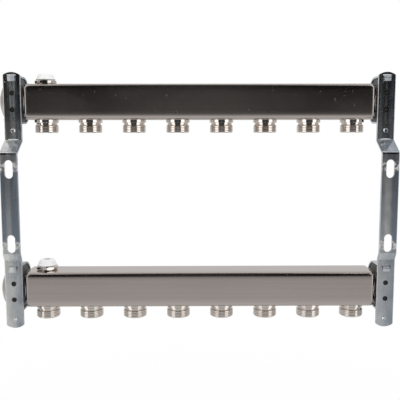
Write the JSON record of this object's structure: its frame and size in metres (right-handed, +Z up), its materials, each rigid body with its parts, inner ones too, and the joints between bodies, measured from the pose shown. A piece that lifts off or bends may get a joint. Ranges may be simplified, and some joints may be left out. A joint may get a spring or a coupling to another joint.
{
  "type": "heating manifold",
  "caption": "Square stainless steel heating manifold bars with threaded outlets underneath, air vents and end plugs, clamped to folded wall brackets.",
  "frame": {"origin": "centre of the plug-end bracket's two wall slots, on the wall plane", "axes": "+X along the bars from the plugged end to the inlet ports, +Y from the wall into the room, +Z up"},
  "size_m": [0.4409, 0.0715, 0.2832],
  "materials": {
    "stainless": "stainless steel, brushed along the bar",
    "stainless_turned": "stainless steel, turned",
    "nickel": "brass, nickel plated, satin",
    "zinc": "steel sheet, zinc plated, bluish",
    "liner_rubber": "black rubber, matt",
    "seal_rubber": "black sealing rubber",
    "white_plastic": "white moulded plastic"
  },
  "bodies": {
    "manifold": {"upper_bar": "stainless", "upper_plug_end_bush": "stainless_turned", "upper_inlet_bush": "stainless_turned", "upper_outlet_seals": "seal_rubber", "upper_vent_body": "nickel", "upper_vent_seal": "seal_rubber", "upper_end_plug": "nickel", "upper_plug_seal": "seal_rubber", "upper_outlet_1": "nickel", "upper_outlet_2": "nickel", "upper_outlet_3": "nickel", "upper_outlet_4": "nickel", "upper_outlet_5": "nickel", "upper_outlet_6": "nickel", "upper_outlet_7": "nickel", "upper_outlet_8": "nickel", "upper_plug_end_clamp_strap": "zinc", "upper_plug_end_clamp_liner": "liner_rubber", "upper_plug_end_clamp_screw": "zinc", "upper_inlet_end_clamp_strap": "zinc", "upper_inlet_end_clamp_liner": "liner_rubber", "upper_inlet_end_clamp_screw": "zinc", "lower_bar": "stainless", "lower_plug_end_bush": "stainless_turned", "lower_inlet_bush": "stainless_turned", "lower_outlet_seals": "seal_rubber", "lower_vent_body": "nickel", "lower_vent_seal": "seal_rubber", "lower_end_plug": "nickel", "lower_plug_seal": "seal_rubber", "lower_outlet_1": "nickel", "lower_outlet_2": "nickel", "lower_outlet_3": "nickel", "lower_outlet_4": "nickel", "lower_outlet_5": "nickel", "lower_outlet_6": "nickel", "lower_outlet_7": "nickel", "lower_outlet_8": "nickel", "lower_plug_end_clamp_strap": "zinc", "lower_plug_end_clamp_liner": "liner_rubber", "lower_plug_end_clamp_screw": "zinc", "lower_inlet_end_clamp_strap": "zinc", "lower_inlet_end_clamp_liner": "liner_rubber", "lower_inlet_end_clamp_screw": "zinc", "plug_end_bracket": "zinc", "inlet_end_bracket": "zinc"},
    "upper_vent_cap": {"upper_vent_cap": "white_plastic"},
    "upper_bleed_screw": {"upper_bleed_screw": "nickel"},
    "lower_vent_cap": {"lower_vent_cap": "white_plastic"},
    "lower_bleed_screw": {"lower_bleed_screw": "nickel"}
  },
  "joints": [
    {"name": "upper_vent_cap_swivel", "type": "hinge", "parent": "manifold", "child": "upper_vent_cap", "pos_m": [0.0318, 0.047, 0.1345], "axis": [0, 0, 1], "continuous": true},
    {"name": "upper_bleed_screw_turn", "type": "hinge", "parent": "manifold", "child": "upper_bleed_screw", "pos_m": [0.0318, 0.047, 0.1345], "axis": [0, 0, 1], "range_deg": [0, 270]},
    {"name": "lower_vent_cap_swivel", "type": "hinge", "parent": "manifold", "child": "lower_vent_cap", "pos_m": [0.0318, 0.0295, -0.0755], "axis": [0, 0, 1], "continuous": true},
    {"name": "lower_bleed_screw_turn", "type": "hinge", "parent": "manifold", "child": "lower_bleed_screw", "pos_m": [0.0318, 0.0295, -0.0755], "axis": [0, 0, 1], "range_deg": [0, 270]}
  ]
}
